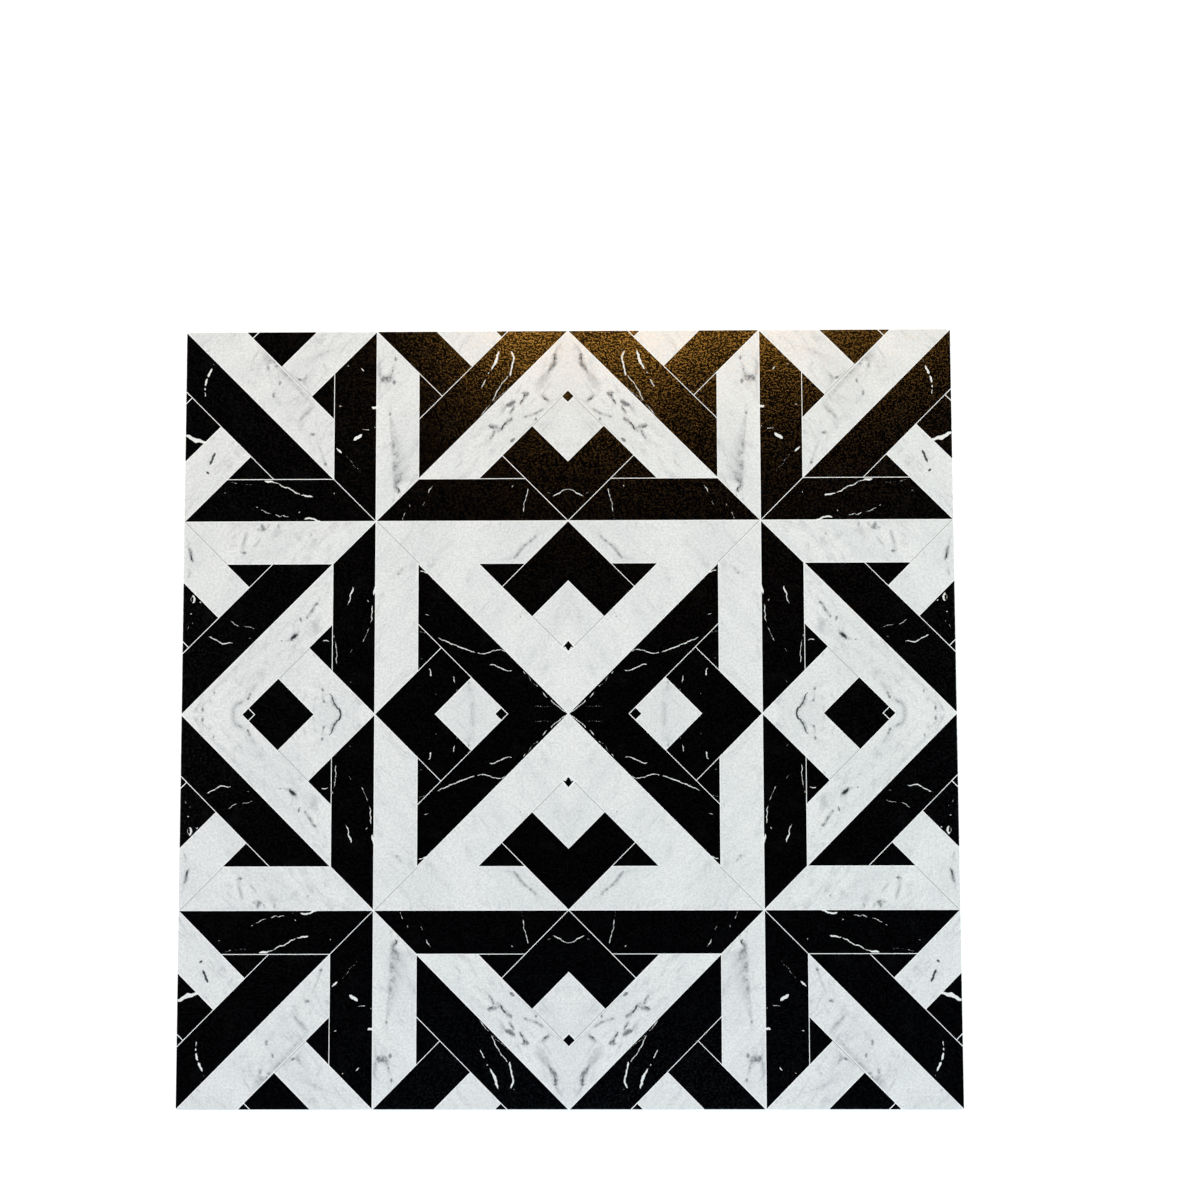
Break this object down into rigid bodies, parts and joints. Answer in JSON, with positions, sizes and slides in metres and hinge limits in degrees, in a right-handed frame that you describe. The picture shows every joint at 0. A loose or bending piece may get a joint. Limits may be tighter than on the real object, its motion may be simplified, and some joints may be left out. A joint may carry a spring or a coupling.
{
  "type": "pvc tile",
  "caption": "Thin square PVC floor or wall tile with a black and white marble inlay print on its face and a plain flat back.",
  "frame": {"origin": "middle of the tile's back, which lies on the floor", "axes": "+Z out of the printed face, +X to the right and +Y to the far edge of the print"},
  "size_m": [0.3, 0.3, 0.002],
  "materials": {
    "printed_pvc": "satin, finely embossed, printed in black and white marble"
  },
  "bodies": {
    "root": {"tile": "printed_pvc"}
  },
  "joints": []
}
